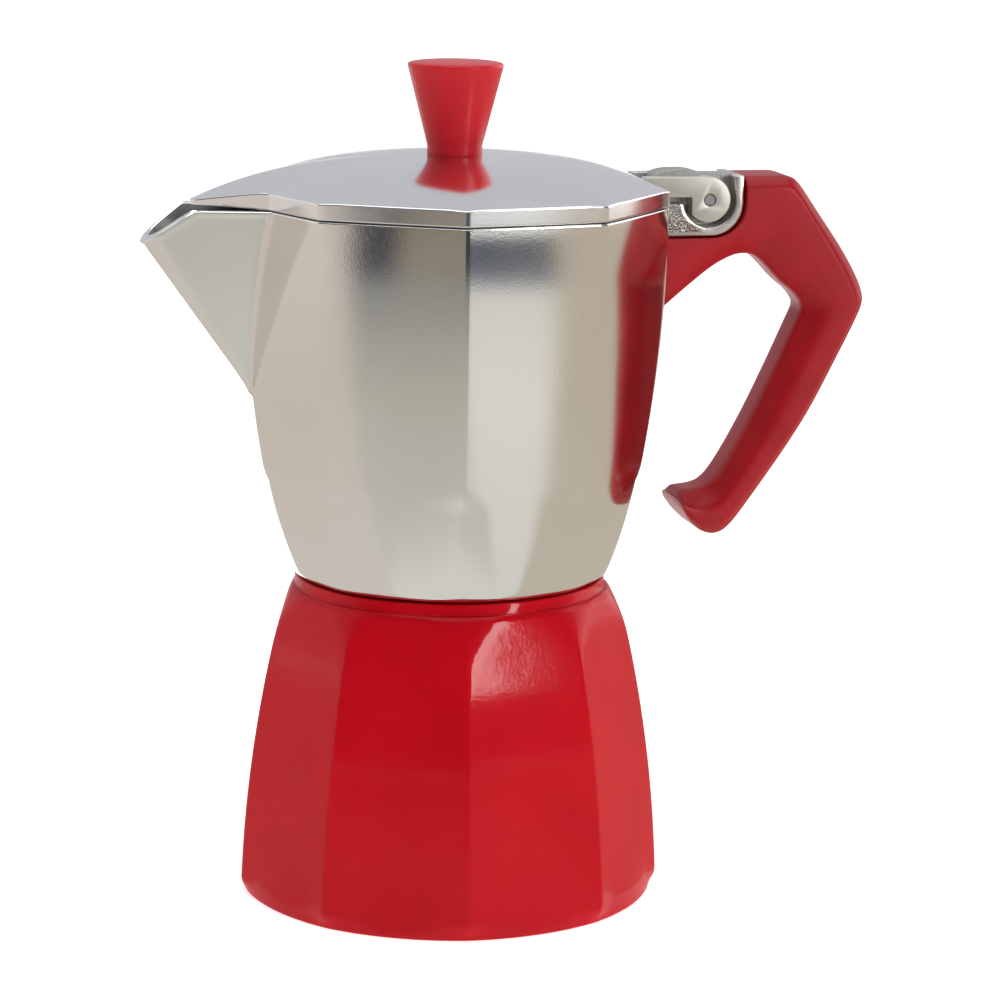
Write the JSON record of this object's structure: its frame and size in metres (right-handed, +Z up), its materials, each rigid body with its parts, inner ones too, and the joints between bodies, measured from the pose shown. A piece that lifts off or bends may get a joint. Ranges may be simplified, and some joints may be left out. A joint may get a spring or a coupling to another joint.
{
  "type": "moka pot",
  "caption": "Stovetop moka pot: faceted lacquered boiler, polished jug with spout, hinged lid with knob, angular handle, funnel, filter, seal and safety valve.",
  "frame": {"origin": "centre of the boiler's flat foot", "axes": "+Z up along the pot's axis, +X towards the handle, -X towards the spout"},
  "size_m": [0.1769, 0.1028, 0.2015],
  "materials": {
    "red_lacquer": "glossy red lacquer with slight orange peel",
    "polished_aluminium": "fine satin polish",
    "plain_aluminium": "pressed sheet, matt",
    "red_plastic": "satin heat-proof plastic",
    "brass": "turned",
    "steel": "turned",
    "rubber": "moulded white rubber",
    "fibre": "pressed fibre"
  },
  "bodies": {
    "boiler_body": {"boiler": "red_lacquer", "valve_body": "brass", "valve_washer": "fibre", "valve_retainer": "steel", "valve_spring": "steel"},
    "plunger": {"valve_plunger": "brass"},
    "funnel": {"funnel_basket": "plain_aluminium", "funnel_tube": "plain_aluminium", "funnel_sieve": "plain_aluminium"},
    "seal": {"gasket": "rubber", "filter_plate": "plain_aluminium"},
    "jug": {"collector": "polished_aluminium", "column": "plain_aluminium", "handle": "red_plastic", "handle_screw": "steel", "hinge_pin": "steel"},
    "lid": {"lid": "polished_aluminium", "knob": "red_plastic", "knob_washer": "steel", "knob_screw": "steel"}
  },
  "joints": [
    {"name": "collector_rise", "type": "slide", "parent": "boiler_body", "child": "seal", "axis": [0, 0, 1], "range_m": [0, 0.009]},
    {"name": "collector_unscrew", "type": "hinge", "parent": "seal", "child": "jug", "pos_m": [0, 0, 0.09], "axis": [0, 0, 1], "range_deg": [0, 1080]},
    {"name": "funnel_lift", "type": "slide", "parent": "boiler_body", "child": "funnel", "axis": [0, 0, 1], "range_m": [0, 0.006]},
    {"name": "lid_hinge", "type": "hinge", "parent": "jug", "child": "lid", "pos_m": [0.06129, 0, 0.1682], "axis": [0, 1, 0], "range_deg": [0, 95]},
    {"name": "valve_lift", "type": "slide", "parent": "boiler_body", "child": "plunger", "axis": [0.1236, 0.9923, 0], "range_m": [0, 0.0015], "stiffness_N_per_m": 400, "springref_m": -0.002, "deforming": ["valve_spring"]}
  ],
  "couplings": [
    {"joint": "collector_rise", "follows": "collector_unscrew", "m_per_rad": 0.00047746},
    {"joint": "funnel_lift", "follows": "collector_unscrew", "m_per_rad": 0.0003183}
  ]
}
